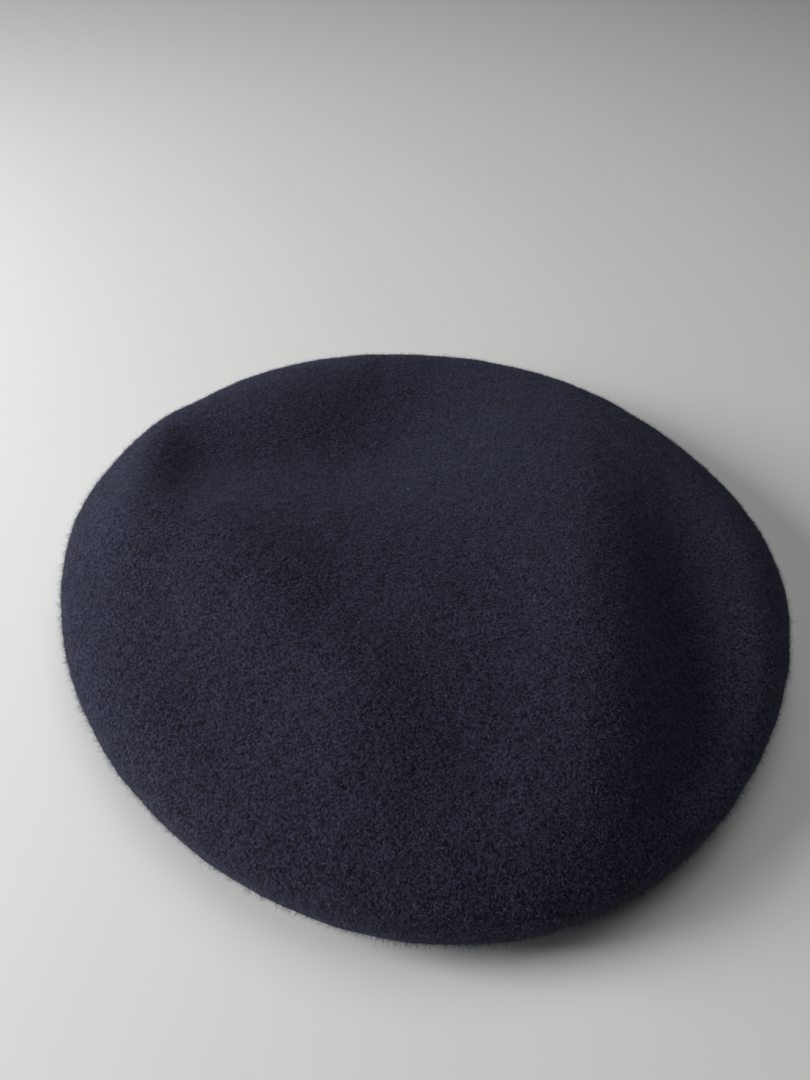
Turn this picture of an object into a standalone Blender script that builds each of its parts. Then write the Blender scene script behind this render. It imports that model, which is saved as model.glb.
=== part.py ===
"""A wool felt beret lying on its opening, with its lining, sweatband, bow and label.

Metres, +Z up. The under-brim rests on z = 0, the wearer's forehead is towards -Y and the bow is at +Y.
"""

import math

import bmesh
import bpy
from mathutils import Vector

# Felt body: driving dimensions
RIM_RADIUS = 0.135          # radius of the rolled rim between its bulges
RIM_HEIGHT = 0.012          # height of the rim's widest line
CROWN_HEIGHT = 0.043        # height of the crown before it sags
CROWN_FULLNESS = 2.4        # superellipse exponent: 2 is an ellipse, more is a fuller shoulder
UNDER_ROLL = 0.017          # how far in from the rim the under-brim turns flat
OPENING_RADIUS = 0.0915     # edge of the head opening
FELT_THICKNESS = 0.0028

# Uneven outline of the soft rim: (azimuth in degrees, half-width in degrees, how far out)
RIM_BULGES = (
    (175.0, 15.0, 0.0040),      # bulge at the left
    (10.0, 15.0, 0.0035),       # bulge at the right
    (280.0, 20.0, 0.0020),      # fuller front
    (325.0, 20.0, -0.0030),     # drawn in at the front right
    (230.0, 20.0, -0.0015),     # drawn in at the front left
    (105.0, 20.0, -0.0015),     # flatter back
)

# Soft shape of the crown: hollows and swells as
# (centre x, centre y, long half-width, short half-width, azimuth of the long axis in degrees, height)
SWELLS = (
    (-0.020, 0.060, 0.045, 0.030, 68.0, -0.015),    # broad hollow behind the middle
    (-0.085, 0.030, 0.035, 0.018, 10.0, -0.008),    # the hollow's arm towards the left rim
    (-0.118, 0.025, 0.040, 0.010, 100.0, 0.009),    # bank along the left rim
    (-0.092, -0.018, 0.040, 0.012, -13.0, 0.005),   # ridge in front of the arm
    (-0.055, -0.050, 0.035, 0.028, 150.0, 0.004),   # swell at the front left
    (0.055, -0.035, 0.050, 0.020, 90.0, 0.007),     # swell at the right
    (0.092, -0.045, 0.045, 0.016, 92.0, -0.010),    # groove inside the right rim
    (0.118, -0.040, 0.050, 0.010, 92.0, 0.005),     # bank outside that groove
    (0.080, -0.096, 0.026, 0.012, 58.0, -0.007),    # the groove's end round the front
)
RIM_FADE_POWER = 8          # how late towards the rim the crown's soft shape fades out

# Lining
LINING_GAP = 0.0005         # air between the felt and the lining
LINING_THICKNESS = 0.0008
LINING_EDGE_RADIUS = 0.0918  # inner edge of the side lining, just behind the sweatband
SEAM_THREAD_RADIUS = 0.0004
CROWN_LINING_END = 0.985    # the crown lining stops just short of the rim, which is step 1
SIDE_LINING_START = 1.03    # the side lining starts just past it

# Sweatband
BAND_OUTER_RADIUS = 0.0912
BAND_THICKNESS = 0.0012
BAND_BOTTOM = 0.0004
BAND_TOP = 0.0210
BAND_EDGE_CHAMFER = 0.0003
BAND_JOINT_GAP = 0.0006     # slit between the two ends of the strip, at the back
THREAD_RADIUS = 0.00035
STITCH_HEIGHT = 0.0035
ZIGZAG_HALF_WIDTH = 0.0016
ZIGZAG_TURNS = 6
ZIGZAG_BOTTOM = 0.0065
ZIGZAG_TOP = 0.0185
TOUCH_GAP = 0.0003          # gap kept between pieces that touch

# Bow and label
BOW_HALF_LENGTH = 0.013
BOW_CENTRE_RADIUS = 0.0870
BOW_CENTRE_HEIGHT = 0.0125
BOW_LOOP_HALF_HEIGHT = 0.0048
BOW_WAIST_HALF_HEIGHT = 0.0018
BOW_LOOP_HALF_DEPTH = 0.0013
BOW_WAIST_HALF_DEPTH = 0.0007
BOW_END_POWER = 8           # how squarely the loops end
KNOT_HALF_WIDTH = 0.0020
KNOT_WALL = 0.0005
LABEL_AZIMUTH = math.radians(64.0)
LABEL_WIDTH = 0.017
LABEL_BOTTOM = 0.0075
LABEL_TOP = 0.0185
LABEL_THICKNESS = 0.0005

# Mesh density
AZIMUTHS = 48
CROWN_STEPS = 16
ROLL_STEPS = 5
FLAT_STEPS = 2
THREAD_SIDES = 6
BOW_STEPS = 20
BOW_SIDES = 10
KNOT_SIDES = 16
LABEL_STEPS = 4
SHARP_ANGLE = math.radians(40.0)
SMALL_STEP = 1e-3           # step for slopes of the felt's surface

BACK = math.pi / 2          # azimuth of the back of the head

# Materials: colour, roughness, metallic
NAVY_FELT = ("navy_felt", (0.016, 0.022, 0.042), 0.95, 0.0)
NAVY_SATIN = ("navy_satin", (0.020, 0.028, 0.055), 0.42, 0.0)
BLACK_LEATHER = ("black_leather", (0.024, 0.021, 0.020), 0.55, 0.0)
NAVY_THREAD = ("navy_thread", (0.030, 0.038, 0.065), 0.75, 0.0)
BLACK_RIBBON = ("black_ribbon", (0.018, 0.018, 0.022), 0.60, 0.0)
CREAM_LABEL = ("cream_label", (0.640, 0.600, 0.500), 0.80, 0.0)


def clear_scene():
    for obj in list(bpy.data.objects):
        bpy.data.objects.remove(obj, do_unlink=True)


def material(look):
    name, colour, roughness, metallic = look
    mat = bpy.data.materials.new(name)
    mat.use_nodes = True
    shader = mat.node_tree.nodes["Principled BSDF"]
    shader.inputs["Base Color"].default_value = (*colour, 1.0)
    shader.inputs["Roughness"].default_value = roughness
    shader.inputs["Metallic"].default_value = metallic
    return mat


def azimuth(index):
    return 2.0 * math.pi * index / AZIMUTHS


def polar(radius, phi, z):
    return Vector((radius * math.cos(phi), radius * math.sin(phi), z))


def rim_radius(phi):
    radius = RIM_RADIUS
    for heading, half_width, rise in RIM_BULGES:
        off = math.remainder(phi - math.radians(heading), math.tau)
        radius += rise * math.exp(-0.5 * (off / math.radians(half_width)) ** 2)
    return radius


def soft_shape(x, y):
    """Height that the crown gains or loses at (x, y)."""
    height = 0.0
    for centre_x, centre_y, long_width, short_width, heading, rise in SWELLS:
        turn = math.radians(heading)
        along = (x - centre_x) * math.cos(turn) + (y - centre_y) * math.sin(turn)
        across = (y - centre_y) * math.cos(turn) - (x - centre_x) * math.sin(turn)
        height += rise * math.exp(-0.5 * ((along / long_width) ** 2 + (across / short_width) ** 2))
    return height


def felt_outside(phi, step):
    """Outer surface of the felt: step 0 is the crown's centre, 1 the rim, 2 the roll's end, 3 the opening."""
    rim = rim_radius(phi)
    if step <= 1.0:
        turn = 0.5 * math.pi * step
        share = math.sin(turn) ** (2.0 / CROWN_FULLNESS)
        rise = max(0.0, math.cos(turn)) ** (2.0 / CROWN_FULLNESS)
        x, y = rim * share * math.cos(phi), rim * share * math.sin(phi)
        z = RIM_HEIGHT + (CROWN_HEIGHT - RIM_HEIGHT) * rise
        return Vector((x, y, z + soft_shape(x, y) * (1.0 - share ** RIM_FADE_POWER)))
    if step <= 2.0:
        turn = 0.5 * math.pi * (step - 1.0)
        radius = rim - UNDER_ROLL * (1.0 - math.cos(turn))
        z = RIM_HEIGHT * (1.0 - math.sin(turn))
        return polar(radius, phi, z)
    radius = (rim - UNDER_ROLL) * (3.0 - step) + OPENING_RADIUS * (step - 2.0)
    return polar(radius, phi, 0.0)


def felt_normal(phi, step):
    """Outward normal of the felt's outer surface, from differences along and across the meridian."""
    if step < SMALL_STEP:
        return Vector((0.0, 0.0, 1.0))
    if step >= 2.0:
        return Vector((0.0, 0.0, -1.0))
    along = felt_outside(phi, step + SMALL_STEP) - felt_outside(phi, step - SMALL_STEP)
    across = felt_outside(phi + SMALL_STEP, step) - felt_outside(phi - SMALL_STEP, step)
    return along.cross(across).normalized()


def under_felt(phi, step, depth):
    """A point depth metres inside the felt's outer surface."""
    return felt_outside(phi, step) - depth * felt_normal(phi, step)


def ladder(first, last, count):
    return [first + (last - first) * index / count for index in range(count + 1)]


CROWN_LADDER = ladder(0.0, 1.0, CROWN_STEPS)
ROLL_LADDER = ladder(1.0, 2.0, ROLL_STEPS)
FLAT_LADDER = ladder(2.0, 3.0, FLAT_STEPS)


def add_object(name, bm, look, smooth=True):
    bmesh.ops.recalc_face_normals(bm, faces=bm.faces)
    mesh = bpy.data.meshes.new(name)
    bm.to_mesh(mesh)
    bm.free()
    mesh.materials.append(material(look))
    if smooth:
        mesh.shade_smooth()
        mesh.set_sharp_from_angle(angle=SHARP_ANGLE)
    obj = bpy.data.objects.new(name, mesh)
    bpy.context.scene.collection.objects.link(obj)
    return obj


def bridge(bm, loops):
    """Triangles between each loop of vertices and the next; a loop of one vertex is a pole."""
    for lower, upper in zip(loops, loops[1:]):
        count = max(len(lower), len(upper))
        for index in range(count):
            after = (index + 1) % count
            if len(lower) > 1:
                bm.faces.new((lower[index], lower[after], upper[after % len(upper)]))
            if len(upper) > 1:
                bm.faces.new((lower[index % len(lower)], upper[after], upper[index]))


def bridge_layer(bm, outside, inside):
    """A closed layer between two surfaces with the same rings, so that neighbouring layers stay parallel."""
    bridge(bm, outside)
    bridge(bm, inside)
    for end in (0, -1):
        if len(outside[end]) > 1:
            bridge(bm, [outside[end], inside[end]])


def ring(bm, point_at):
    return [bm.verts.new(point_at(azimuth(index))) for index in range(AZIMUTHS)]


def layer_rings(bm, steps, depth, edge_radius=None):
    """Rings of one surface of a felt or lining layer, depth metres under the felt's outside."""
    rings = []
    for step in steps:
        if step == 0.0:
            rings.append([bm.verts.new(under_felt(0.0, 0.0, depth))])
        elif step == 3.0 and edge_radius is not None:
            rings.append(ring(bm, lambda phi: polar(edge_radius, phi, depth)))
        else:
            rings.append(ring(bm, lambda phi: under_felt(phi, step, depth)))
    return rings


def build_felt_body():
    steps = CROWN_LADDER + ROLL_LADDER[1:] + FLAT_LADDER[1:]
    bm = bmesh.new()
    outside = layer_rings(bm, steps, 0.0)
    inside = layer_rings(bm, steps, FELT_THICKNESS)
    bridge_layer(bm, outside, inside)
    add_object("felt_body", bm, NAVY_FELT)


def build_lining():
    near = FELT_THICKNESS + LINING_GAP
    far = near + LINING_THICKNESS
    bm = bmesh.new()
    steps = CROWN_LADDER[:-1] + [CROWN_LINING_END]
    bridge_layer(bm, layer_rings(bm, steps, near), layer_rings(bm, steps, far))
    add_object("lining_crown", bm, NAVY_SATIN)

    bm = bmesh.new()
    steps = [SIDE_LINING_START] + ROLL_LADDER[1:] + FLAT_LADDER[1:]
    outside = layer_rings(bm, steps, near, LINING_EDGE_RADIUS)
    inside = layer_rings(bm, steps, far, LINING_EDGE_RADIUS)
    bridge_layer(bm, outside, inside)
    add_object("lining_side", bm, NAVY_SATIN)

    bm = bmesh.new()
    depth = far + TOUCH_GAP + SEAM_THREAD_RADIUS
    route = [under_felt(azimuth(index), 1.0, depth) for index in range(AZIMUTHS)]
    tube(bm, route, SEAM_THREAD_RADIUS, closed=True)
    add_object("lining_seam_thread", bm, NAVY_THREAD)


def tube(bm, route, radius, closed):
    """A round thread along a route of points that lies nearly level or nearly on a cylinder about Z."""
    loops = []
    count = len(route)
    for index, point in enumerate(route):
        before = route[index - 1] if closed or index > 0 else point
        after = route[(index + 1) % count] if closed or index < count - 1 else point
        forward = (after - before).normalized()
        outward = Vector((point.x, point.y, 0.0)).normalized()
        outward = (outward - forward * outward.dot(forward)).normalized()
        sideways = forward.cross(outward)
        loop = []
        for side in range(THREAD_SIDES):
            turn = 2.0 * math.pi * side / THREAD_SIDES
            loop.append(bm.verts.new(point + radius * (math.cos(turn) * outward + math.sin(turn) * sideways)))
        loops.append(loop)
    if closed:
        loops.append(loops[0])
    else:
        bm.faces.new(loops[0])
        bm.faces.new(loops[-1])
    bridge(bm, loops)


def build_sweatband():
    outer, inner = BAND_OUTER_RADIUS, BAND_OUTER_RADIUS - BAND_THICKNESS
    cut = BAND_EDGE_CHAMFER
    section = (
        (outer, BAND_BOTTOM + cut), (outer, BAND_TOP - cut),
        (outer - cut, BAND_TOP), (inner + cut, BAND_TOP),
        (inner, BAND_TOP - cut), (inner, BAND_BOTTOM + cut),
        (inner + cut, BAND_BOTTOM), (outer - cut, BAND_BOTTOM),
    )
    half_slit = 0.5 * BAND_JOINT_GAP / inner
    bm = bmesh.new()
    loops = []
    for phi in ladder(BACK + half_slit, BACK + 2.0 * math.pi - half_slit, AZIMUTHS):
        loops.append([bm.verts.new(polar(radius, phi, z)) for radius, z in section])
    bm.faces.new(loops[0])
    bm.faces.new(loops[-1])
    bridge(bm, loops)
    add_object("sweatband", bm, BLACK_LEATHER)


def build_band_threads():
    """The stitching ring near the band's lower edge, and the zigzag over the joint of its two ends."""
    # A chord of the band's inner face lies inside its arc by this much
    chord_depth = BAND_OUTER_RADIUS * (1.0 - math.cos(math.pi / AZIMUTHS))
    radius = BAND_OUTER_RADIUS - BAND_THICKNESS - chord_depth - TOUCH_GAP - THREAD_RADIUS
    bm = bmesh.new()
    route = [polar(radius, azimuth(index), STITCH_HEIGHT) for index in range(AZIMUTHS)]
    tube(bm, route, THREAD_RADIUS, closed=True)
    add_object("band_stitching", bm, NAVY_THREAD)

    bm = bmesh.new()
    route = []
    for index, z in enumerate(ladder(ZIGZAG_BOTTOM, ZIGZAG_TOP, 2 * ZIGZAG_TURNS)):
        side = 1.0 if index % 2 else -1.0
        route.append(polar(radius, BACK + side * ZIGZAG_HALF_WIDTH / radius, z))
    tube(bm, route, THREAD_RADIUS, closed=False)
    add_object("band_joint_thread", bm, NAVY_THREAD)


def bow_half_sizes(share):
    """Half height and half depth of the bow at a share of its half length, waist to loop end."""
    waist_share = (KNOT_HALF_WIDTH + TOUCH_GAP) / BOW_HALF_LENGTH
    swell = math.sin(0.5 * math.pi * max(0.0, abs(share) - waist_share) / (1.0 - waist_share))
    end = math.sqrt(max(0.0, 1.0 - share ** BOW_END_POWER))
    half_height = (BOW_WAIST_HALF_HEIGHT + (BOW_LOOP_HALF_HEIGHT - BOW_WAIST_HALF_HEIGHT) * swell) * end
    half_depth = (BOW_WAIST_HALF_DEPTH + (BOW_LOOP_HALF_DEPTH - BOW_WAIST_HALF_DEPTH) * swell) * end
    return half_height, half_depth


def build_bow():
    bm = bmesh.new()
    loops = []
    for share in ladder(-1.0, 1.0, BOW_STEPS):
        phi = BACK + share * BOW_HALF_LENGTH / BOW_CENTRE_RADIUS
        if abs(share) == 1.0:
            loops.append([bm.verts.new(polar(BOW_CENTRE_RADIUS, phi, BOW_CENTRE_HEIGHT))])
            continue
        half_height, half_depth = bow_half_sizes(share)
        loop = []
        for side in range(BOW_SIDES):
            turn = 2.0 * math.pi * side / BOW_SIDES
            radius = BOW_CENTRE_RADIUS + half_depth * math.cos(turn)
            loop.append(bm.verts.new(polar(radius, phi, BOW_CENTRE_HEIGHT + half_height * math.sin(turn))))
        loops.append(loop)
    bridge(bm, loops)
    add_object("bow_ribbon", bm, BLACK_RIBBON)

    half_height, half_depth = bow_half_sizes(KNOT_HALF_WIDTH / BOW_HALF_LENGTH)
    inside = (half_height + TOUCH_GAP, half_depth + TOUCH_GAP)
    outside = (inside[0] + KNOT_WALL, inside[1] + KNOT_WALL)
    angle = KNOT_HALF_WIDTH / BOW_CENTRE_RADIUS
    bm = bmesh.new()
    loops = []
    for side in range(KNOT_SIDES):
        turn = 2.0 * math.pi * side / KNOT_SIDES
        loop = []
        for (tall, deep), phi in ((inside, BACK - angle), (outside, BACK - angle),
                                  (outside, BACK + angle), (inside, BACK + angle)):
            radius = BOW_CENTRE_RADIUS + deep * math.cos(turn)
            loop.append(bm.verts.new(polar(radius, phi, BOW_CENTRE_HEIGHT + tall * math.sin(turn))))
        loops.append(loop)
    bridge(bm, loops + loops[:1])
    add_object("bow_knot", bm, BLACK_RIBBON)


def build_label():
    outer = (BAND_OUTER_RADIUS - BAND_THICKNESS) * math.cos(math.pi / AZIMUTHS) - TOUCH_GAP
    inner = outer - LABEL_THICKNESS
    half_angle = 0.5 * LABEL_WIDTH / outer
    bm = bmesh.new()
    loops = []
    for phi in ladder(LABEL_AZIMUTH - half_angle, LABEL_AZIMUTH + half_angle, LABEL_STEPS):
        corners = ((outer, LABEL_BOTTOM), (outer, LABEL_TOP), (inner, LABEL_TOP), (inner, LABEL_BOTTOM))
        loops.append([bm.verts.new(polar(radius, phi, z)) for radius, z in corners])
    bm.faces.new(loops[0])
    bm.faces.new(loops[-1])
    bridge(bm, loops)
    add_object("size_label", bm, CREAM_LABEL, smooth=False)


def centre_on_origin():
    """Moves the meshes so that the uneven rim's bounding box is centred on x = y = 0."""
    points = [vertex.co for vertex in bpy.data.objects["felt_body"].data.vertices]
    middle_x = 0.5 * (min(point.x for point in points) + max(point.x for point in points))
    middle_y = 0.5 * (min(point.y for point in points) + max(point.y for point in points))
    for obj in bpy.data.objects:
        for vertex in obj.data.vertices:
            vertex.co.x -= middle_x
            vertex.co.y -= middle_y


clear_scene()
build_felt_body()
build_lining()
build_sweatband()
build_band_threads()
build_bow()
build_label()
centre_on_origin()
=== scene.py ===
"""Looks of the beret: wool felt with a nap of real fibres, satin lining, leather sweatband and its trim."""

import math

import bmesh
import bpy
import numpy as np
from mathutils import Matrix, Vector


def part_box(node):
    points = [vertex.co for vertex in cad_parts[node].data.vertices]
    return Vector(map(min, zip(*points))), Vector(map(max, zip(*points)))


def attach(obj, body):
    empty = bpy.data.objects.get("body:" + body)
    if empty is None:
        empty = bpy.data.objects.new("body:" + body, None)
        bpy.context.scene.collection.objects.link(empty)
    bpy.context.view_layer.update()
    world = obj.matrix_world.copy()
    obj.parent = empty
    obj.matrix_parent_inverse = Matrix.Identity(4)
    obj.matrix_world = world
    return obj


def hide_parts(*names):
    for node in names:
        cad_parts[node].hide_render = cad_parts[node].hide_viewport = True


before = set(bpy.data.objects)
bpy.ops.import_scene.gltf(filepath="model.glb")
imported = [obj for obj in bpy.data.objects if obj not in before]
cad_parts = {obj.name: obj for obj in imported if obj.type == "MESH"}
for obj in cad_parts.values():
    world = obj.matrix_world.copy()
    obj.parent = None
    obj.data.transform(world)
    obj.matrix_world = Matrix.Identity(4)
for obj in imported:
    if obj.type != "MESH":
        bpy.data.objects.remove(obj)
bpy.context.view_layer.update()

MM = 0.001
TAU = 2.0 * np.pi

# ---------------------------------------------------------------- the felt's shape
# The soft rim's uneven outline: (azimuth in degrees, half-width in degrees, how far out)
RIM_BULGES = (
    (175.0, 15.0, 0.0040),      # bulge at the left
    (10.0, 15.0, 0.0035),       # bulge at the right
    (280.0, 20.0, 0.0020),      # fuller front
    (325.0, 20.0, -0.0030),     # drawn in at the front right
    (230.0, 20.0, -0.0015),     # drawn in at the front left
    (105.0, 20.0, -0.0015),     # flatter back
)

# Hollows and swells of the crown:
# (centre x, centre y, long half-width, short half-width, azimuth of the long axis in degrees, height)
SWELLS = (
    (-0.020, 0.060, 0.045, 0.030, 68.0, -0.015),    # broad hollow behind the middle
    (-0.085, 0.030, 0.035, 0.018, 10.0, -0.008),    # the hollow's arm towards the left rim
    (-0.118, 0.025, 0.040, 0.010, 100.0, 0.009),    # bank along the left rim
    (-0.092, -0.018, 0.040, 0.012, -13.0, 0.005),   # ridge in front of the arm
    (-0.055, -0.050, 0.035, 0.028, 150.0, 0.004),   # swell at the front left
    (0.055, -0.035, 0.050, 0.020, 90.0, 0.007),     # swell at the right
    (0.092, -0.045, 0.045, 0.016, 92.0, -0.010),    # groove inside the right rim
    (0.118, -0.040, 0.050, 0.010, 92.0, 0.005),     # bank outside that groove
    (0.080, -0.096, 0.026, 0.012, 58.0, -0.007),    # the groove's end round the front
    (-0.030, -0.042, 0.022, 0.012, -35.0, -0.003),  # dent left of the middle
    (0.018, -0.092, 0.018, 0.012, 20.0, -0.0025),   # dents towards the front
    (-0.046, -0.086, 0.022, 0.013, 0.0, -0.003),
    (-0.074, -0.074, 0.026, 0.013, 130.0, -0.003),
    (-0.022, -0.080, 0.016, 0.012, 90.0, 0.002),    # small swell between them
)

RIM_RADIUS = 0.135
RIM_HEIGHT = 0.012
CROWN_HEIGHT = 0.043
CROWN_FULLNESS = 2.4
UNDER_ROLL = 0.017
OPENING_RADIUS = 0.0915
FELT_THICKNESS = 0.0028
RIM_FADE_POWER = 8


def rim_radius(phi):
    radius = RIM_RADIUS
    for azimuth, half_width, rise in RIM_BULGES:
        off = (phi - math.radians(azimuth) + np.pi) % TAU - np.pi
        radius = radius + rise * np.exp(-0.5 * (off / math.radians(half_width)) ** 2)
    return radius


def soft_shape(x, y):
    height = 0.0
    for centre_x, centre_y, long_width, short_width, heading, rise in SWELLS:
        turn = math.radians(heading)
        along = (x - centre_x) * math.cos(turn) + (y - centre_y) * math.sin(turn)
        across = (y - centre_y) * math.cos(turn) - (x - centre_x) * math.sin(turn)
        height = height + rise * np.exp(-0.5 * ((along / long_width) ** 2 + (across / short_width) ** 2))
    return height


def outline_centre():
    phi = np.linspace(0.0, TAU, 1440, endpoint=False)
    x, y = rim_radius(phi) * np.cos(phi), rim_radius(phi) * np.sin(phi)
    return 0.5 * (x.min() + x.max()), 0.5 * (y.min() + y.max())


CENTRE = np.array([*outline_centre(), 0.0])


def felt_outside(phi, step):
    """Outer surface: step 0 is the crown's centre, 1 the rim, 2 the end of the roll, 3 the opening."""
    phi, step = np.broadcast_arrays(np.asarray(phi, float), np.asarray(step, float))
    rim = rim_radius(phi)
    turn = 0.5 * np.pi * np.clip(step, 0.0, 1.0)
    share = np.sin(turn) ** (2.0 / CROWN_FULLNESS)
    rise = np.clip(np.cos(turn), 0.0, 1.0) ** (2.0 / CROWN_FULLNESS)
    radius = rim * share
    z = RIM_HEIGHT + (CROWN_HEIGHT - RIM_HEIGHT) * rise
    z = z + soft_shape(radius * np.cos(phi), radius * np.sin(phi)) * (1.0 - share ** RIM_FADE_POWER)
    roll = 0.5 * np.pi * np.clip(step - 1.0, 0.0, 1.0)
    under = step > 1.0
    radius = np.where(under, rim - UNDER_ROLL * (1.0 - np.cos(roll)), radius)
    z = np.where(under, RIM_HEIGHT * (1.0 - np.sin(roll)), z)
    flat = step > 2.0
    radius = np.where(flat, (rim - UNDER_ROLL) * (3.0 - step) + OPENING_RADIUS * (step - 2.0), radius)
    return np.stack([radius * np.cos(phi), radius * np.sin(phi), z], -1) - CENTRE


def unit(vectors):
    return vectors / np.maximum(np.linalg.norm(vectors, axis=-1, keepdims=True), 1e-12)


def grid_normals(points, steps):
    """Outward normals of a surface laid out as azimuth by step; from the end of the roll on it faces down."""
    along = np.gradient(points, axis=1)
    across = 0.5 * (np.roll(points, -1, 0) - np.roll(points, 1, 0))
    normals = unit(np.cross(along, across))
    normals[:, steps >= 1.97] = (0.0, 0.0, -1.0)
    return normals


def ripples(points, wavelength, seed, count=60):
    """Smooth random heights of about unit spread, with hills one wavelength apart in every direction."""
    draw = np.random.default_rng(seed)
    waves = unit(draw.normal(size=(count, 3))) * (TAU / (wavelength * draw.uniform(0.75, 1.5, (count, 1))))
    total = np.zeros(points.shape[:-1])
    for wave, phase in zip(waves, draw.uniform(0.0, TAU, count)):
        total += np.cos(points @ wave + phase)
    return total * math.sqrt(2.0 / count)


# ---------------------------------------------------------------- mesh helpers
def mesh_object(name, points, faces, material, smooth=True):
    """faces is a list of arrays of corners, one array for each number of corners."""
    points = np.asarray(points, dtype=np.float32)
    corners = np.concatenate([np.asarray(block, dtype=np.int32).ravel() for block in faces])
    sizes = np.concatenate([np.full(len(block), len(block[0]), dtype=np.int32) for block in faces])
    mesh = bpy.data.meshes.new(name)
    mesh.vertices.add(len(points))
    mesh.vertices.foreach_set("co", points.ravel())
    mesh.loops.add(len(corners))
    mesh.loops.foreach_set("vertex_index", corners)
    mesh.polygons.add(len(sizes))
    mesh.polygons.foreach_set("loop_start", np.concatenate([[0], np.cumsum(sizes)[:-1]]).astype(np.int32))
    mesh.update(calc_edges=True)
    mesh.validate()
    mesh.materials.append(material)
    if smooth:
        mesh.shade_smooth()
    obj = bpy.data.objects.new(name, mesh)
    bpy.context.scene.collection.objects.link(obj)
    return obj


def grid_quads(rows, columns, offset=0, wrap_rows=False):
    """Quads of a grid of points that is closed along its columns, facing away from row x column."""
    row = np.arange(rows if wrap_rows else rows - 1)[:, None]
    column = np.arange(columns)[None, :]
    below, after = (row + 1) % rows, (column + 1) % columns
    here, next_row = row * columns, below * columns
    quads = np.stack([here + column, next_row + column, next_row + after, here + after], -1)
    return quads.reshape(-1, 4) + offset


def closed_layer(name, outside, inside, material, pole=None):
    """A closed sheet between two surfaces given as azimuth by step; pole is its two points at the centre."""
    azimuths = outside.shape[0]
    rows = np.concatenate([np.swapaxes(outside, 0, 1), np.swapaxes(inside, 0, 1)[::-1]])
    points = rows.reshape(-1, 3)
    faces = [grid_quads(len(rows), azimuths, wrap_rows=pole is None)]
    if pole is not None:
        top = len(points)
        last = (len(rows) - 1) * azimuths
        points = np.concatenate([points, pole])
        index = np.arange(azimuths)
        after = (index + 1) % azimuths
        faces.append(np.stack([np.full(azimuths, top), index, after], -1))
        faces.append(np.stack([last + after, last + index, np.full(azimuths, top + 1)], -1))
    return mesh_object(name, points, faces, material)


def fibres(name, roots, headings, lengths, width, bends, curl, material, seed, lowest):
    """Closed three-sided fibres that taper from their roots to a point, and wander by curl at each bend."""
    draw = np.random.default_rng(seed)
    count = len(roots)
    stretch = (lengths / bends)[:, None]
    path = [roots]
    heading = unit(headings)
    side = unit(np.cross(heading, draw.normal(size=(count, 3))))
    other = np.cross(heading, side)
    for _ in range(bends):
        path.append(path[-1] + stretch * heading)
        heading = unit(heading + curl * draw.normal(size=(count, 3)))
    path = [np.column_stack([point[:, :2], np.maximum(point[:, 2], lowest)]) for point in path]
    widths = width * draw.uniform(0.7, 1.3, (count, 1))
    rings = []
    for bend in range(bends):
        radius = 0.5 * widths * (1.0 - 0.65 * bend / bends)
        for corner in range(3):
            turn = TAU * corner / 3.0
            rings.append(path[bend] + radius * (math.cos(turn) * side + math.sin(turn) * other))
    points = np.stack([*rings, path[-1]], 1)
    corners_each = points.shape[1]
    base = (np.arange(count) * corners_each)[:, None]
    tris = [base + [2, 1, 0]]
    quads = []
    for corner in range(3):
        after = (corner + 1) % 3
        for bend in range(bends - 1):
            ring = 3 * bend
            quads.append(base + [ring + corner, ring + after, ring + 3 + after, ring + 3 + corner])
        tris.append(base + [3 * bends - 3 + corner, 3 * bends - 3 + after, 3 * bends])
    faces = [np.concatenate(tris)]
    if quads:
        faces.append(np.concatenate(quads))
    return mesh_object(name, points.reshape(-1, 3), faces, material)


# ---------------------------------------------------------------- material helpers
class Nodes:
    """A material whose nodes are added one call at a time."""

    def __init__(self, name, **uniform):
        self.material = bpy.data.materials.new(name)
        self.material.use_nodes = True
        self.tree = self.material.node_tree
        self.shader = self.tree.nodes["Principled BSDF"]
        self.place = self.add("ShaderNodeTexCoord").outputs["Object"]
        for socket, value in uniform.items():
            self.shader.inputs[socket.replace("_", " ").title().replace("Ior", "IOR")].default_value = value

    def add(self, kind, links=(), **settings):
        node = self.tree.nodes.new(kind)
        for key, value in settings.items():
            if hasattr(node, key):
                setattr(node, key, value)
            else:
                node.inputs[key.replace("_", " ").title()].default_value = value
        for socket, source in links:
            self.tree.links.new(source, node.inputs[socket])
        return node

    def noise(self, size, detail=2.0, roughness=0.5, distortion=0.0, place=None):
        node = self.add("ShaderNodeTexNoise", [("Vector", place or self.place)], Scale=1.0 / size,
                        Detail=detail, Roughness=roughness, Distortion=distortion)
        return node.outputs["Fac"]

    def spread(self, value, low, high, to_low=0.0, to_high=1.0):
        node = self.add("ShaderNodeMapRange", [("Value", value)], From_Min=low, From_Max=high,
                        To_Min=to_low, To_Max=to_high)
        return node.outputs["Result"]

    def mix(self, factor, first, second):
        node = self.tree.nodes.new("ShaderNodeMix")
        node.data_type = "RGBA"
        self.tree.links.new(factor, node.inputs[0])
        for socket, value in ((6, first), (7, second)):
            if isinstance(value, tuple):
                node.inputs[socket].default_value = (*value, 1.0)
            else:
                self.tree.links.new(value, node.inputs[socket])
        return node.outputs[2]

    def math(self, operation, first, second):
        node = self.tree.nodes.new("ShaderNodeMath")
        node.operation = operation
        for socket, value in ((0, first), (1, second)):
            if isinstance(value, (int, float)):
                node.inputs[socket].default_value = value
            else:
                self.tree.links.new(value, node.inputs[socket])
        return node.outputs[0]

    def bump(self, height, distance, strength=1.0, onto=None):
        links = [("Height", height)] + ([("Normal", onto)] if onto else [])
        return self.add("ShaderNodeBump", links, Distance=distance, Strength=strength).outputs["Normal"]

    def set(self, socket, source):
        self.tree.links.new(source, self.shader.inputs[socket])


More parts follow.
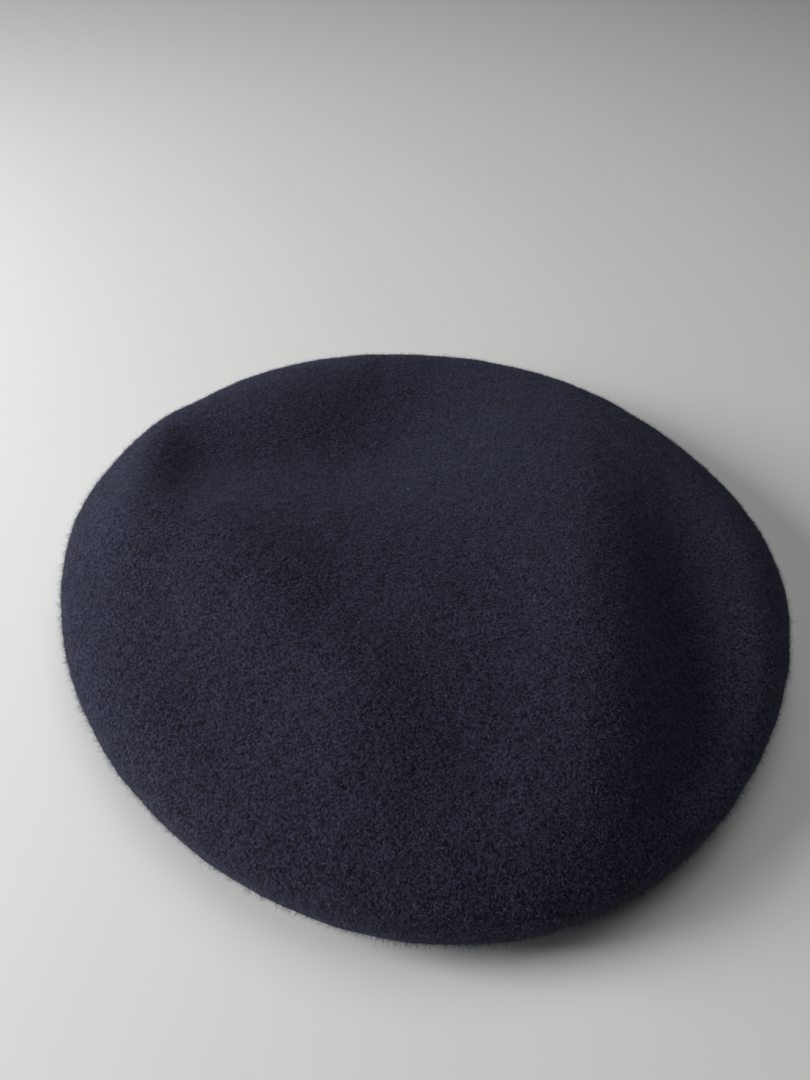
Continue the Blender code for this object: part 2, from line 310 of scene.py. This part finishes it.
def navy_felt():
    """Fulled navy wool: mottled at the size of its matted tufts, clouded over wider patches."""
    nodes = Nodes("navy_felt", roughness=0.95, specular_ior_level=0.15, sheen_weight=0.06,
                  sheen_roughness=0.5, sheen_tint=(0.62, 0.68, 1.0, 1.0))
    tufts = nodes.noise(0.85 * MM, detail=2.0, roughness=0.6)
    mats = nodes.noise(2.6 * MM, detail=2.0, roughness=0.55, distortion=0.4)
    clouds = nodes.noise(9.0 * MM, detail=2.0)
    mottle = nodes.math("ADD", nodes.math("MULTIPLY", nodes.spread(tufts, 0.42, 0.60), 0.74),
                        nodes.math("MULTIPLY", nodes.spread(mats, 0.32, 0.70), 0.26))
    fine = nodes.mix(mottle, (0.0014, 0.0016, 0.0031), (0.0340, 0.0368, 0.0670))
    colour = nodes.mix(nodes.spread(clouds, 0.35, 0.65, 0.0, 0.22), fine, (0.0095, 0.0104, 0.0172))
    nodes.set("Base Color", colour)
    coarse = nodes.bump(mats, 0.5 * MM, 0.6)
    nodes.set("Normal", nodes.bump(tufts, 0.5 * MM, 0.9, onto=coarse))
    return nodes.material


def wool_fibre():
    """Single wool fibres: a little lighter than the felt, some bluer, some dusty."""
    nodes = Nodes("wool_fibre", roughness=0.75, specular_ior_level=0.3, sheen_weight=0.1, sheen_roughness=0.5,
                  sheen_tint=(0.62, 0.68, 1.0, 1.0))
    tone = nodes.noise(0.9 * MM, detail=1.0)
    dusty = nodes.noise(4.0 * MM, detail=2.0)
    dye = nodes.mix(nodes.spread(tone, 0.40, 0.62), (0.0024, 0.0028, 0.0054), (0.0900, 0.0970, 0.1680))
    nodes.set("Base Color", nodes.mix(nodes.spread(dusty, 0.45, 0.75, 0.0, 0.35), dye, (0.100, 0.106, 0.160)))
    return nodes.material


def pale_lint():
    """Dust-coloured lint."""
    nodes = Nodes("pale_lint", roughness=0.8, specular_ior_level=0.3)
    nodes.set("Base Color", nodes.mix(nodes.noise(0.5 * MM), (0.22, 0.22, 0.25), (0.42, 0.42, 0.44)))
    return nodes.material


def navy_satin():
    """Navy lining satin: fine warp lines, soft creases, a brighter sheen than the felt."""
    nodes = Nodes("navy_satin", roughness=0.36, specular_ior_level=0.5, anisotropic=0.5, sheen_weight=0.12,
                  sheen_roughness=0.35, sheen_tint=(0.60, 0.68, 1.0, 1.0))
    warp = nodes.add("ShaderNodeMapping", [("Vector", nodes.place)], Scale=(9.0, 0.8, 1.0)).outputs["Vector"]
    lines = nodes.noise(1.2 * MM, detail=1.0, place=warp)
    clouds = nodes.noise(14.0 * MM, detail=3.0)
    creases = nodes.noise(6.0 * MM, detail=3.0, roughness=0.6, distortion=1.5)
    dye = nodes.mix(nodes.spread(lines, 0.3, 0.7), (0.012, 0.018, 0.040), (0.024, 0.033, 0.066))
    nodes.set("Base Color", nodes.mix(nodes.spread(clouds, 0.4, 0.7, 0.0, 0.4), dye, (0.015, 0.020, 0.042)))
    nodes.set("Roughness", nodes.spread(clouds, 0.3, 0.7, 0.30, 0.44))
    crease = nodes.bump(creases, 0.35 * MM, 0.5)
    nodes.set("Normal", nodes.bump(lines, 0.05 * MM, 0.5, onto=crease))
    return nodes.material


def black_leather():
    """Soft black sweatband leather: pebbled grain with pores, worn a little lighter on its high spots."""
    nodes = Nodes("black_leather", roughness=0.5, specular_ior_level=0.45)
    cells = nodes.add("ShaderNodeTexVoronoi", [("Vector", nodes.place)], feature="DISTANCE_TO_EDGE",
                      Scale=1.0 / (0.9 * MM)).outputs["Distance"]
    pebbles = nodes.spread(cells, 0.0, 0.22)
    creases = nodes.noise(3.5 * MM, detail=4.0, roughness=0.6, distortion=0.8)
    wear = nodes.noise(12.0 * MM, detail=3.0)
    hide = nodes.mix(pebbles, (0.010, 0.009, 0.009), (0.026, 0.023, 0.021))
    nodes.set("Base Color", nodes.mix(nodes.spread(wear, 0.5, 0.8, 0.0, 0.5), hide, (0.048, 0.040, 0.034)))
    nodes.set("Roughness", nodes.spread(creases, 0.3, 0.7, 0.40, 0.62))
    fold = nodes.bump(creases, 0.25 * MM, 0.5)
    nodes.set("Normal", nodes.bump(pebbles, 0.10 * MM, 0.6, onto=fold))
    return nodes.material


def sewing_thread():
    """Twisted navy cotton thread, a little fuzzy."""
    nodes = Nodes("navy_thread", roughness=0.7, specular_ior_level=0.3, sheen_weight=0.15,
                  sheen_roughness=0.5, sheen_tint=(0.75, 0.80, 1.0, 1.0))
    strands = nodes.noise(0.25 * MM, detail=2.0)
    dye = nodes.mix(nodes.spread(strands, 0.3, 0.7), (0.020, 0.026, 0.048), (0.052, 0.062, 0.100))
    nodes.set("Base Color", dye)
    nodes.set("Normal", nodes.bump(strands, 0.08 * MM, 0.6))
    return nodes.material


def ribbed_ribbon():
    """Black grosgrain: fine ribs across the ribbon, a dull silk sheen."""
    nodes = Nodes("black_ribbon", roughness=0.55, specular_ior_level=0.4, sheen_weight=0.2,
                  sheen_roughness=0.4)
    ribs = nodes.add("ShaderNodeTexWave", [("Vector", nodes.place)], bands_direction="X", Scale=620.0,
                     Distortion=0.6, Detail=1.0).outputs["Fac"]
    slubs = nodes.noise(0.5 * MM, detail=2.0)
    yarn = nodes.mix(ribs, (0.007, 0.007, 0.009), (0.024, 0.024, 0.029))
    nodes.set("Base Color", nodes.mix(nodes.spread(slubs, 0.4, 0.7, 0.0, 0.4), yarn, (0.014, 0.014, 0.018)))
    weave = nodes.bump(slubs, 0.06 * MM, 0.5)
    nodes.set("Normal", nodes.bump(ribs, 0.18 * MM, 0.8, onto=weave))
    return nodes.material


def woven_label():
    """Blank cream woven label: a fine plain weave, slightly yellowed."""
    nodes = Nodes("cream_label", roughness=0.7, specular_ior_level=0.35, sheen_weight=0.2,
                  sheen_roughness=0.4)
    weft = nodes.add("ShaderNodeTexWave", [("Vector", nodes.place)], bands_direction="Z", Scale=900.0,
                     Distortion=0.4).outputs["Fac"]
    warp = nodes.add("ShaderNodeTexWave", [("Vector", nodes.place)], bands_direction="X", Scale=700.0,
                     Distortion=0.4).outputs["Fac"]
    weave = nodes.math("MULTIPLY", weft, warp)
    stains = nodes.noise(5.0 * MM, detail=3.0)
    yarn = nodes.mix(weave, (0.46, 0.42, 0.33), (0.72, 0.68, 0.57))
    nodes.set("Base Color", nodes.mix(nodes.spread(stains, 0.5, 0.8, 0.0, 0.35), yarn, (0.55, 0.48, 0.36)))
    nodes.set("Normal", nodes.bump(weave, 0.08 * MM, 0.7))
    return nodes.material


# ---------------------------------------------------------------- felt body
AZIMUTHS = 560
CROWN_ROWS, ROLL_ROWS, FLAT_ROWS = 112, 20, 18
FINE_LUMP = 0.05 * MM
BROAD_LUMP = 0.10 * MM
FLOOR_NAP = -0.15 * MM           # nap pressed flat under the brim


def felt_steps():
    crown = np.linspace(0.004, 1.0, CROWN_ROWS)
    roll = np.linspace(1.0, 2.0, ROLL_ROWS)[1:]
    return np.concatenate([crown, roll, np.linspace(2.0, 3.0, FLAT_ROWS)[1:]])


def felt_surface():
    """The felt's outer surface with the unevenness of hand-shaped felt, and its normals."""
    steps = felt_steps()
    phi = np.linspace(0.0, TAU, AZIMUTHS, endpoint=False)[:, None]
    smooth = felt_outside(phi, steps[None, :])
    normals = grid_normals(smooth, steps)
    lumps = FINE_LUMP * ripples(smooth, 5.0 * MM, 11) + BROAD_LUMP * ripples(smooth, 16.0 * MM, 12)
    on_floor = np.clip((smooth[..., 2:] - 0.5 * MM) / (3.0 * MM), 0.0, 1.0)
    outside = smooth + normals * lumps[..., None] * on_floor
    return steps, outside, grid_normals(outside, steps)


def build_felt(steps, outside, normals, material):
    coarse = np.append(np.arange(0, len(steps) - 1, 6), len(steps) - 1)
    inside = (outside - FELT_THICKNESS * normals)[:, coarse]
    centre = outside[:, 0].mean(0)
    pole = [centre, centre - [0.0, 0.0, FELT_THICKNESS]]
    obj = closed_layer("felt_shell", outside, inside, material, pole=pole)
    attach(obj, "root")
    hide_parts("felt_body")
    return obj


def scatter(outside, normals, first, last, count, seed):
    """Random points spread evenly over the surface between two rows of its grid, with their normals."""
    draw = np.random.default_rng(seed)
    a, b = outside[:, first:last], outside[:, first + 1:last + 1]
    after_a, after_b = np.roll(a, -1, 0), np.roll(b, -1, 0)
    near_half = np.linalg.norm(np.cross(after_a - a, b - a), axis=-1)
    area = near_half + np.linalg.norm(np.cross(after_a - after_b, b - after_b), axis=-1)
    cell = draw.choice(area.size, size=count, p=(area / area.sum()).ravel())
    u, v = draw.random((2, count, 1))
    corners = [grid.reshape(-1, 3)[cell] for grid in (a, b, after_a, after_b)]
    points = (1 - u) * ((1 - v) * corners[0] + v * corners[1]) + u * ((1 - v) * corners[2] + v * corners[3])
    return points, normals[:, first:last].reshape(-1, 3)[cell]


def nap(name, outside, normals, first, last, count, length, width, bends, curl, lift, material, seed, lowest):
    """A patch of nap: fibres that leave the felt at a random heading, at a lift between two angles."""
    draw = np.random.default_rng(seed)
    points, normal = scatter(outside, normals, first, last, count, seed)
    sideways = unit(np.cross(normal, draw.normal(size=(count, 3))))
    rise = np.radians(draw.uniform(*lift, (count, 1)))
    headings = np.sin(rise) * normal + np.cos(rise) * sideways
    lengths = draw.uniform(*length, count)
    roots = points - 0.05 * MM * normal
    obj = fibres(name, roots, headings, lengths, width, bends, curl, material, seed + 1, lowest)
    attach(obj, "root")
    return obj


# Places on the crown where a little pale lint is caught in the nap
LINT = ((0.045, -0.014), (0.094, 0.003), (0.020, -0.084), (-0.060, -0.040), (-0.012, 0.020))


def build_lint(outside, normals, material):
    """A few short curled fibres of pale lint lying on the crown."""
    crown = outside[:, :CROWN_ROWS].reshape(-1, 3)
    facing = normals[:, :CROWN_ROWS].reshape(-1, 3)
    nearest = []
    for x, y in LINT:
        nearest += 3 * [int(np.argmin(np.hypot(crown[:, 0] - x, crown[:, 1] - y)))]
    draw = np.random.default_rng(301)
    count = len(nearest)
    roots = crown[nearest] + 0.5 * MM * facing[nearest] + 0.15 * MM * draw.normal(size=(count, 3))
    flat = np.cross(facing[nearest], draw.normal(size=(count, 3)))
    lengths = draw.uniform(0.5 * MM, 1.4 * MM, count)
    headings = flat + 0.3 * facing[nearest]
    obj = fibres("lint_specks", roots, headings, lengths, 0.11 * MM, 5, 0.7, material, 302, FLOOR_NAP)
    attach(obj, "root")
    return obj


# Patches of nap: name, from and to which row, number of fibres, lengths and width in mm, bends, curl,
# lowest and highest lift in degrees, seed
CROWN_PATCHES = 5
OTHER_PATCHES = (
    ("nap_rim", "rim", "floor_edge", 19000, (1.0, 2.6), 0.085, 2, 0.55, (8.0, 60.0), 200),
    ("rim_hairs", "rim", "floor_edge", 8000, (1.8, 3.4), 0.075, 4, 0.45, (30.0, 85.0), 205),
    ("nap_under_brim", "floor_edge", "opening", 14000, (1.0, 2.4), 0.07, 2, 0.5, (2.0, 20.0), 210),
    ("loose_fibres", "middle", "floor_edge", 2600, (2.5, 6.0), 0.055, 5, 0.55, (10.0, 60.0), 220),
)


def build_nap(steps, outside, normals, material):
    rows = {
        "middle": 0,
        "rim": int(np.searchsorted(steps, 0.86)),
        "floor_edge": int(np.searchsorted(steps, 1.75)),
        "opening": len(steps) - 1,
    }
    patches = []
    for index in range(CROWN_PATCHES):
        patches.append((f"nap_crown_{index + 1}", "middle", "rim", 19000, (1.0, 2.6), 0.095, 2, 0.55,
                        (4.0, 50.0), 100 + 10 * index))
    pieces = []
    for name, first, last, count, lengths, width, bends, curl, lift, seed in (*patches, *OTHER_PATCHES):
        length = (lengths[0] * MM, lengths[1] * MM)
        pieces.append(nap(name, outside, normals, rows[first], rows[last], count, length, width * MM, bends,
                          curl, lift, material, seed, FLOOR_NAP))
    return pieces


steps, outside, normals = felt_surface()
felt_shell = build_felt(steps, outside, normals, navy_felt())
nap_pieces = build_nap(steps, outside, normals, wool_fibre())
nap_pieces.append(build_lint(outside, normals, pale_lint()))


# ---------------------------------------------------------------- lining
LINING_DEPTH = 3.5 * MM          # from the felt's outside to the satin
SATIN_THICKNESS = 0.3 * MM
LINING_EDGE_RADIUS = 0.0918
SEAM_STEP = 1.0
CROWN_PANEL_END = 0.985
SIDE_PANEL_START = 1.03
PANEL_AZIMUTHS = 540


def angles(count):
    return np.linspace(0.0, TAU, count, endpoint=False)[:, None]


def ring_folds(phi, wavelength, seed):
    """Irregular folds round the rim, from 0 on their crests to 1 in their valleys."""
    circle = RIM_RADIUS * np.stack([np.cos(phi), np.sin(phi), np.zeros_like(phi)], -1)
    return 0.5 + 0.5 * np.tanh(1.2 * ripples(circle, wavelength, seed))


def lining_surface(steps, sag):
    """A skin under the felt, sag metres deeper than it lies when it is smooth."""
    phi = angles(PANEL_AZIMUTHS)
    outside = felt_outside(phi, steps[None, :])
    edge = np.clip(steps - 2.0, 0.0, 1.0)[None, :, None]
    inward = outside + CENTRE
    radius = np.linalg.norm(inward[..., :2], axis=-1, keepdims=True)
    outside = outside + edge * (LINING_EDGE_RADIUS - OPENING_RADIUS) * np.concatenate(
        [inward[..., :2] / np.maximum(radius, 1e-9), np.zeros_like(radius)], -1)
    normals = grid_normals(outside, steps)
    return outside - (LINING_DEPTH + sag)[..., None] * normals, normals


def build_lining(satin):
    phi = angles(PANEL_AZIMUTHS)
    steps = np.concatenate([np.linspace(0.01, 0.7, 40), np.linspace(0.7, CROWN_PANEL_END, 34)[1:]])
    rise = np.clip((steps - 0.30) / 0.60, 0.0, 1.0)[None, :] ** 1.5
    seam_hold = 0.75 * np.clip((steps - 0.93) / 0.055, 0.0, 1.0)[None, :]
    gathered = ring_folds(phi, 9.0 * MM, 31) * (1.0 - seam_hold)
    smooth, _ = lining_surface(steps, np.zeros((PANEL_AZIMUTHS, len(steps))))
    loose = 0.5 + 0.5 * np.tanh(ripples(smooth, 30.0 * MM, 32))
    upper, normals = lining_surface(steps, 2.2 * MM * rise * gathered + 0.9 * MM * loose)
    middle = upper[:, 0].mean(0)
    crown = closed_layer("lining_crown_panel", upper, upper - SATIN_THICKNESS * normals, satin,
                         pole=[middle, middle - [0.0, 0.0, SATIN_THICKNESS]])
    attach(crown, "root")
    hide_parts("lining_crown")

    steps = np.concatenate([np.linspace(SIDE_PANEL_START, 2.0, 26), np.linspace(2.0, 3.0, 30)[1:]])
    across = np.clip((steps - SIDE_PANEL_START) / (3.0 - SIDE_PANEL_START), 0.0, 1.0)
    shape = np.sin(np.pi * across)[None, :]
    fade = 1.0 - np.clip(steps - 2.6, 0.0, 0.4)[None, :] / 0.4
    sag = 1.8 * MM * (0.15 + 0.85 * shape) * ring_folds(phi, 8.0 * MM, 33) * fade
    upper, normals = lining_surface(steps, sag)
    side = closed_layer("lining_side_panel", upper, upper - SATIN_THICKNESS * normals, satin)
    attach(side, "root")
    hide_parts("lining_side")


# ---------------------------------------------------------------- thread
def tubes(name, paths, radii, sides, material):
    """Closed round tubes along many paths at once: paths is tube by point by xyz, radii is tube by point."""
    count, length = radii.shape
    along = unit(np.gradient(paths, axis=1))
    side = unit(np.cross(along, (0.31, 0.17, 0.93)))
    other = np.cross(along, side)
    turn = TAU * np.arange(sides)[:, None] / sides
    spokes = np.cos(turn) * side[:, :, None] + np.sin(turn) * other[:, :, None]
    rings = paths[:, :, None] + radii[..., None, None] * spokes
    index = np.arange(count * length * sides).reshape(count, length, sides)
    after = np.roll(index, -1, 2)
    quads = np.stack([index[:, :-1], after[:, :-1], after[:, 1:], index[:, 1:]], -1).reshape(-1, 4)
    return mesh_object(name, rings.reshape(-1, 3), [quads, index[:, 0, ::-1], index[:, -1]], material)


def twisted(centre_lines, radius, twist, plies=2):
    """Each centre line as plies that wind round it; twist is the length of a full turn."""
    along = unit(np.gradient(centre_lines, axis=1))
    side = unit(np.cross(along, (0.31, 0.17, 0.93)))
    other = np.cross(along, side)
    lengths = np.linalg.norm(np.diff(centre_lines, axis=1), axis=-1)
    distance = np.concatenate([np.zeros((len(lengths), 1)), np.cumsum(lengths, 1)], 1)
    strands = []
    for ply in range(plies):
        turn = (TAU * (distance / twist + ply / plies))[..., None]
        strands.append(centre_lines + 0.45 * radius * (np.cos(turn) * side + np.sin(turn) * other))
    return np.concatenate(strands)


def thread_object(name, node, centre_lines, radius, material):
    """Stitches of twisted thread, thinner where they dive into the material."""
    paths = twisted(centre_lines, radius, 1.6 * MM)
    share = np.linspace(-1.0, 1.0, paths.shape[1])[None, :]
    radii = np.repeat(0.62 * radius * (1.0 - 0.55 * share ** 8), len(paths), 0)
    obj = tubes(name, paths, radii, 6, material)
    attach(obj, "root")
    if node:
        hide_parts(node)


def polar(radius, phi, z):
    radius, phi, z = np.broadcast_arrays(radius, phi, z)
    return np.stack([radius * np.cos(phi), radius * np.sin(phi), z], -1) - CENTRE


def build_seam(thread):
    count, filled = 260, 0.80
    start = angles(count)
    share = np.linspace(0.0, filled, 8)[None, :]
    phi = start + share * TAU / count
    at_rim = felt_outside(phi, SEAM_STEP)
    inward = -np.stack([np.cos(phi), np.sin(phi), np.zeros_like(phi)], -1)
    arch = np.sin(np.pi * share / filled)[..., None]
    lines = at_rim + inward * (4.4 * MM + 0.4 * MM * arch)
    thread_object("lining_seam_stitches", "lining_seam_thread", lines, 0.4 * MM, thread)


# ---------------------------------------------------------------- sweatband
BACK = 0.5 * np.pi
BAND_OUTER = 0.0911
BAND_INNER = 0.0900
BAND_BOTTOM = 0.4 * MM
BAND_TOP = 21.0 * MM
BAND_SLIT = 0.6 * MM
EDGE_ROUND = 0.5 * MM
STITCH_HEIGHT = 3.5 * MM
STITCH_PITCH = 3.6 * MM


def band_section():
    """Radius and height round the strip's section: two flat faces and two rounded edges."""
    middle = 0.5 * (BAND_OUTER + BAND_INNER)
    half = 0.5 * (BAND_OUTER - BAND_INNER)
    up = np.linspace(BAND_BOTTOM + EDGE_ROUND, BAND_TOP - EDGE_ROUND, 26)
    bend = np.linspace(0.0, np.pi, 7)[1:-1]
    outer_face, inner_face = np.full(26, BAND_OUTER), np.full(26, BAND_INNER)
    edge = EDGE_ROUND * np.sin(bend)
    depth = half * np.cos(bend)
    radius = np.concatenate([outer_face, middle + depth, inner_face, middle - depth])
    height = np.concatenate([up, up[-1] + edge, up[::-1], up[0] - edge])
    return radius, height


def build_sweatband(leather):
    radius, height = band_section()
    half_slit = 0.5 * BAND_SLIT / BAND_INNER
    phi = np.linspace(BACK + half_slit, BACK + TAU - half_slit, 620)[:, None]
    points = polar(radius[None, :], phi, height[None, :])
    outward = unit(points + CENTRE - [0.0, 0.0, 1.0] * (points + CENTRE))
    inner = (radius < 0.5 * (BAND_OUTER + BAND_INNER))[None, :]
    groove = np.exp(-0.5 * ((height[None, :] - STITCH_HEIGHT) / (0.6 * MM)) ** 2)
    waves = 0.10 * MM * ripples(points, 9.0 * MM, 41)
    press = inner * (0.22 * MM * groove + np.clip(waves, 0.0, 1.0))
    points = points + outward * press[..., None]
    rows, columns = points.shape[:2]
    ends = [[tuple(range(columns - 1, -1, -1))], [tuple(range((rows - 1) * columns, rows * columns))]]
    faces = [grid_quads(rows, columns)[:, ::-1], ends[0], ends[1]]
    obj = mesh_object("sweatband_strip", points.reshape(-1, 3), faces, leather)
    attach(obj, "root")
    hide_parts("sweatband")


def build_band_threads(thread):
    count = int(TAU * BAND_INNER / STITCH_PITCH)
    filled = 0.84
    share = np.linspace(0.0, filled, 9)[None, :]
    phi = BACK + (0.08 + np.arange(count)[:, None] + share) * TAU / count
    arch = np.sin(np.pi * share / filled)
    radius = BAND_INNER + 0.30 * MM - 0.65 * MM * arch
    lines = polar(radius, phi, STITCH_HEIGHT)
    thread_object("band_stitches", "band_stitching", lines, 0.35 * MM, thread)

    turns, bottom, top, half_width = 12, 6.5 * MM, 18.5 * MM, 1.6 * MM
    leg = np.arange(turns)[:, None]
    share = np.linspace(0.0, 1.0, 9)[None, :]
    side = np.where(leg % 2 == 0, 1.0, -1.0) * (2.0 * share - 1.0)
    radius = BAND_INNER + 0.15 * MM - 0.50 * MM * np.sin(np.pi * share)
    z = bottom + (top - bottom) * (leg + share) / turns
    lines = polar(radius, BACK + side * half_width / BAND_INNER, z)
    thread_object("band_joint_zigzag", "band_joint_thread", lines, 0.35 * MM, thread)


# ---------------------------------------------------------------- bow and label
BOW_RADIUS = 0.0870
BOW_HEIGHT = 12.5 * MM
BOW_HALF_LENGTH = 12.8 * MM
LOOP_HALF_HEIGHT = 4.6 * MM
WAIST_HALF_HEIGHT = 1.7 * MM
LOOP_HALF_DEPTH = 1.1 * MM
WAIST_HALF_DEPTH = 0.45 * MM
RIBBON_THICKNESS = 0.25 * MM
KNOT_HALF_WIDTH = 2.0 * MM
LABEL_BACK = 0.0896              # radius of the label's back, against the band


def swept_band(centre, normals, half_height, thickness, columns):
    """Points of a closed ribbon that runs round a loop: loop by section by xyz."""
    across = np.linspace(-1.0, 1.0, columns)[None, :, None] * np.array([0.0, 0.0, 1.0])
    outer = centre[:, None] + 0.5 * thickness * normals + half_height[..., None] * across
    inner = centre[:, None] - 0.5 * thickness * normals + half_height[..., None] * across[:, ::-1]
    return np.concatenate([outer, inner], 1)


def build_bow(ribbon):
    turn = angles(260)[:, 0]
    share = np.sign(np.cos(turn)) * np.abs(np.cos(turn)) ** 0.7
    swell = np.sin(0.5 * np.pi * np.clip((np.abs(share) - 0.18) / 0.82, 0.0, 1.0))
    depth = (WAIST_HALF_DEPTH + (LOOP_HALF_DEPTH - WAIST_HALF_DEPTH) * swell)
    depth = depth * np.sign(np.sin(turn)) * np.abs(np.sin(turn)) ** 0.35
    phi = BACK - share * BOW_HALF_LENGTH / BOW_RADIUS
    centre = polar(BOW_RADIUS - depth, phi, BOW_HEIGHT)
    tangent = unit(np.roll(centre, -1, 0) - np.roll(centre, 1, 0))
    normal = np.cross(tangent, (0.0, 0.0, 1.0))[:, None]
    half_height = (WAIST_HALF_HEIGHT + (LOOP_HALF_HEIGHT - WAIST_HALF_HEIGHT) * swell)[:, None]
    points = swept_band(centre, normal, half_height, RIBBON_THICKNESS, 25)
    across = np.concatenate([np.linspace(-1.0, 1.0, 25), np.linspace(1.0, -1.0, 25)])[None, :]
    near_knot = np.exp(-0.5 * ((np.abs(share) - 0.22) / 0.22) ** 2)[:, None]
    pleats = 0.20 * MM * np.cos(3.0 * np.pi * across) * near_knot
    points = points + pleats[..., None] * normal
    rows, columns = points.shape[:2]
    obj = mesh_object("bow_loops", points.reshape(-1, 3), [grid_quads(rows, columns, wrap_rows=True)], ribbon)
    mend_normals(obj)
    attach(obj, "root")
    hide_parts("bow_ribbon")

    turn = angles(72)
    across = np.linspace(-1.0, 1.0, 21)
    bulge = 1.0 - 0.35 * np.abs(across) ** 4
    crease = 0.06 * MM * np.cos(5.0 * across * np.pi)
    tall, deep = 2.2 * MM, 1.05 * MM
    thick = 0.45 * MM * bulge + crease
    section = np.concatenate([across, across[::-1]]) * KNOT_HALF_WIDTH
    extra = np.concatenate([thick, np.zeros_like(across)])[None, :]
    radius = BOW_RADIUS + (deep + extra) * np.cos(turn)
    z = BOW_HEIGHT + (tall + extra) * np.sin(turn)
    points = polar(radius, BACK + section[None, :] / BOW_RADIUS, z)
    rows, columns = points.shape[:2]
    faces = [grid_quads(rows, columns, wrap_rows=True)]
    obj = mesh_object("bow_knot_wrap", points.reshape(-1, 3), faces, ribbon)
    mend_normals(obj)
    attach(obj, "root")
    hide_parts("bow_knot")


def mend_normals(obj):
    """Turns the faces of a closed body outwards."""
    bm = bmesh.new()
    bm.from_mesh(obj.data)
    bmesh.ops.recalc_face_normals(bm, faces=bm.faces)
    bm.to_mesh(obj.data)
    bm.free()


def build_label(cloth, thread):
    low, high = (np.array(corner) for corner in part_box("size_label"))
    azimuth = math.radians(64.0)
    width, bottom, top = 17.0 * MM, low[2], high[2]
    columns, rows = 60, 40
    u = np.linspace(-1.0, 1.0, columns)
    v = np.linspace(-1.0, 1.0, rows)[:, None]
    puff = 0.35 * MM * (1.0 - u ** 4) * (1.0 - v ** 4)
    hems = 0.12 * MM * np.exp(-(((np.abs(u) - 0.93) / 0.05) ** 2))
    side_edges, end_edges = (np.clip((np.abs(share) - 0.96) / 0.04, 0.0, 1.0) ** 2 for share in (u, v))
    front = LABEL_BACK - 0.42 * MM - puff - hems + 0.18 * MM * (side_edges + end_edges)
    phi = azimuth + 0.5 * width * u / LABEL_BACK
    z = 0.5 * (bottom + top) + 0.5 * (top - bottom) * v
    front_points = polar(front, phi, z)
    back_points = polar(LABEL_BACK, phi, z)
    index = np.arange(rows * columns).reshape(rows, columns)
    quads = np.stack([index[:-1, :-1], index[:-1, 1:], index[1:, 1:], index[1:, :-1]], -1).reshape(-1, 4)
    edge = np.concatenate([index[0, :-1], index[:-1, -1], index[-1, :0:-1], index[:0:-1, 0]])
    shift = rows * columns
    rim = np.stack([edge, np.roll(edge, -1), np.roll(edge, -1) + shift, edge + shift], -1)
    points = np.concatenate([front_points.reshape(-1, 3), back_points.reshape(-1, 3)])
    obj = mesh_object("woven_size_label", points, [quads, quads[:, ::-1] + shift, rim], cloth)
    mend_normals(obj)
    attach(obj, "root")
    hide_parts("size_label")

    share = np.linspace(0.0, 1.0, 7)[None, :]
    count = 5
    heights = bottom + (top - bottom) * (np.arange(count)[:, None] + 0.2 + 0.6 * share) / count
    arch = np.sin(np.pi * share)
    lines = []
    for end in (-1.0, 1.0):
        phi = azimuth + 0.46 * end * width / LABEL_BACK
        lines.append(polar(LABEL_BACK - 0.25 * MM - 0.55 * MM * arch, phi, heights))
    thread_object("label_stitches", None, np.concatenate(lines), 0.2 * MM, thread)


thread = sewing_thread()
ribbon = ribbed_ribbon()
build_lining(navy_satin())
build_seam(thread)
build_sweatband(black_leather())
build_band_threads(thread)
build_bow(ribbon)
build_label(woven_label(), thread)


# ---------------------------------------------------------------- stage, light and camera
CAMERA_PLACE = (-0.011, -0.209, 0.2485)   # from the middle of the plain rim
CAMERA_TURN = (43.0, -4.5, 5.0)          # degrees
CAMERA_LENS = 27.0
FLOOR_HALF = 4.0
FLOOR_DROP = 0.3 * MM                    # just under the pressed nap


def area_light(name, azimuth, elevation, distance, size, power):
    data = bpy.data.lights.new(name, "AREA")
    data.shape = "RECTANGLE"
    data.size, data.size_y = size
    data.energy = power
    lamp = bpy.data.objects.new(name, data)
    a, e = math.radians(azimuth), math.radians(elevation)
    place = distance * Vector((math.cos(a) * math.cos(e), math.sin(a) * math.cos(e), math.sin(e)))
    lamp.location = place
    lamp.rotation_mode = "QUATERNION"
    lamp.rotation_quaternion = (-place).to_track_quat("-Z", "Y")
    bpy.context.scene.collection.objects.link(lamp)


def build_stage():
    half, low = FLOOR_HALF, -FLOOR_DROP
    corners = [(-half, -half, low), (half, -half, low), (half, half, low), (-half, half, low)]
    pale = Nodes("pale_floor", roughness=0.9)
    pale.set("Base Color", pale.mix(pale.noise(0.4), (0.70, 0.70, 0.69), (0.74, 0.74, 0.73)))
    floor = mesh_object("floor", corners, [[(0, 1, 2, 3)]], pale.material, smooth=False)
    world = bpy.data.worlds.new("studio")
    bpy.context.scene.world = world
    world.use_nodes = True
    background = world.node_tree.nodes["Background"]
    background.inputs["Color"].default_value = (0.86, 0.88, 0.92, 1.0)
    background.inputs["Strength"].default_value = 0.04
    area_light("window", 190.0, 25.0, 1.0, (0.4, 0.4), 11.0)
    area_light("low_window", 205.0, 10.0, 1.0, (0.4, 0.4), 2.5)
    area_light("ceiling", 90.0, 70.0, 1.5, (1.2, 1.2), 8.0)
    bpy.context.scene.view_settings.view_transform = "Standard"


def build_camera():
    data = bpy.data.cameras.new("camera")
    data.lens = CAMERA_LENS
    data.sensor_width = 36.0
    camera = bpy.data.objects.new("camera", data)
    camera.location = Vector(CAMERA_PLACE) - Vector(CENTRE)
    camera.rotation_euler = [math.radians(a) for a in CAMERA_TURN]
    bpy.context.scene.collection.objects.link(camera)
    bpy.context.scene.camera = camera


build_stage()
build_camera()
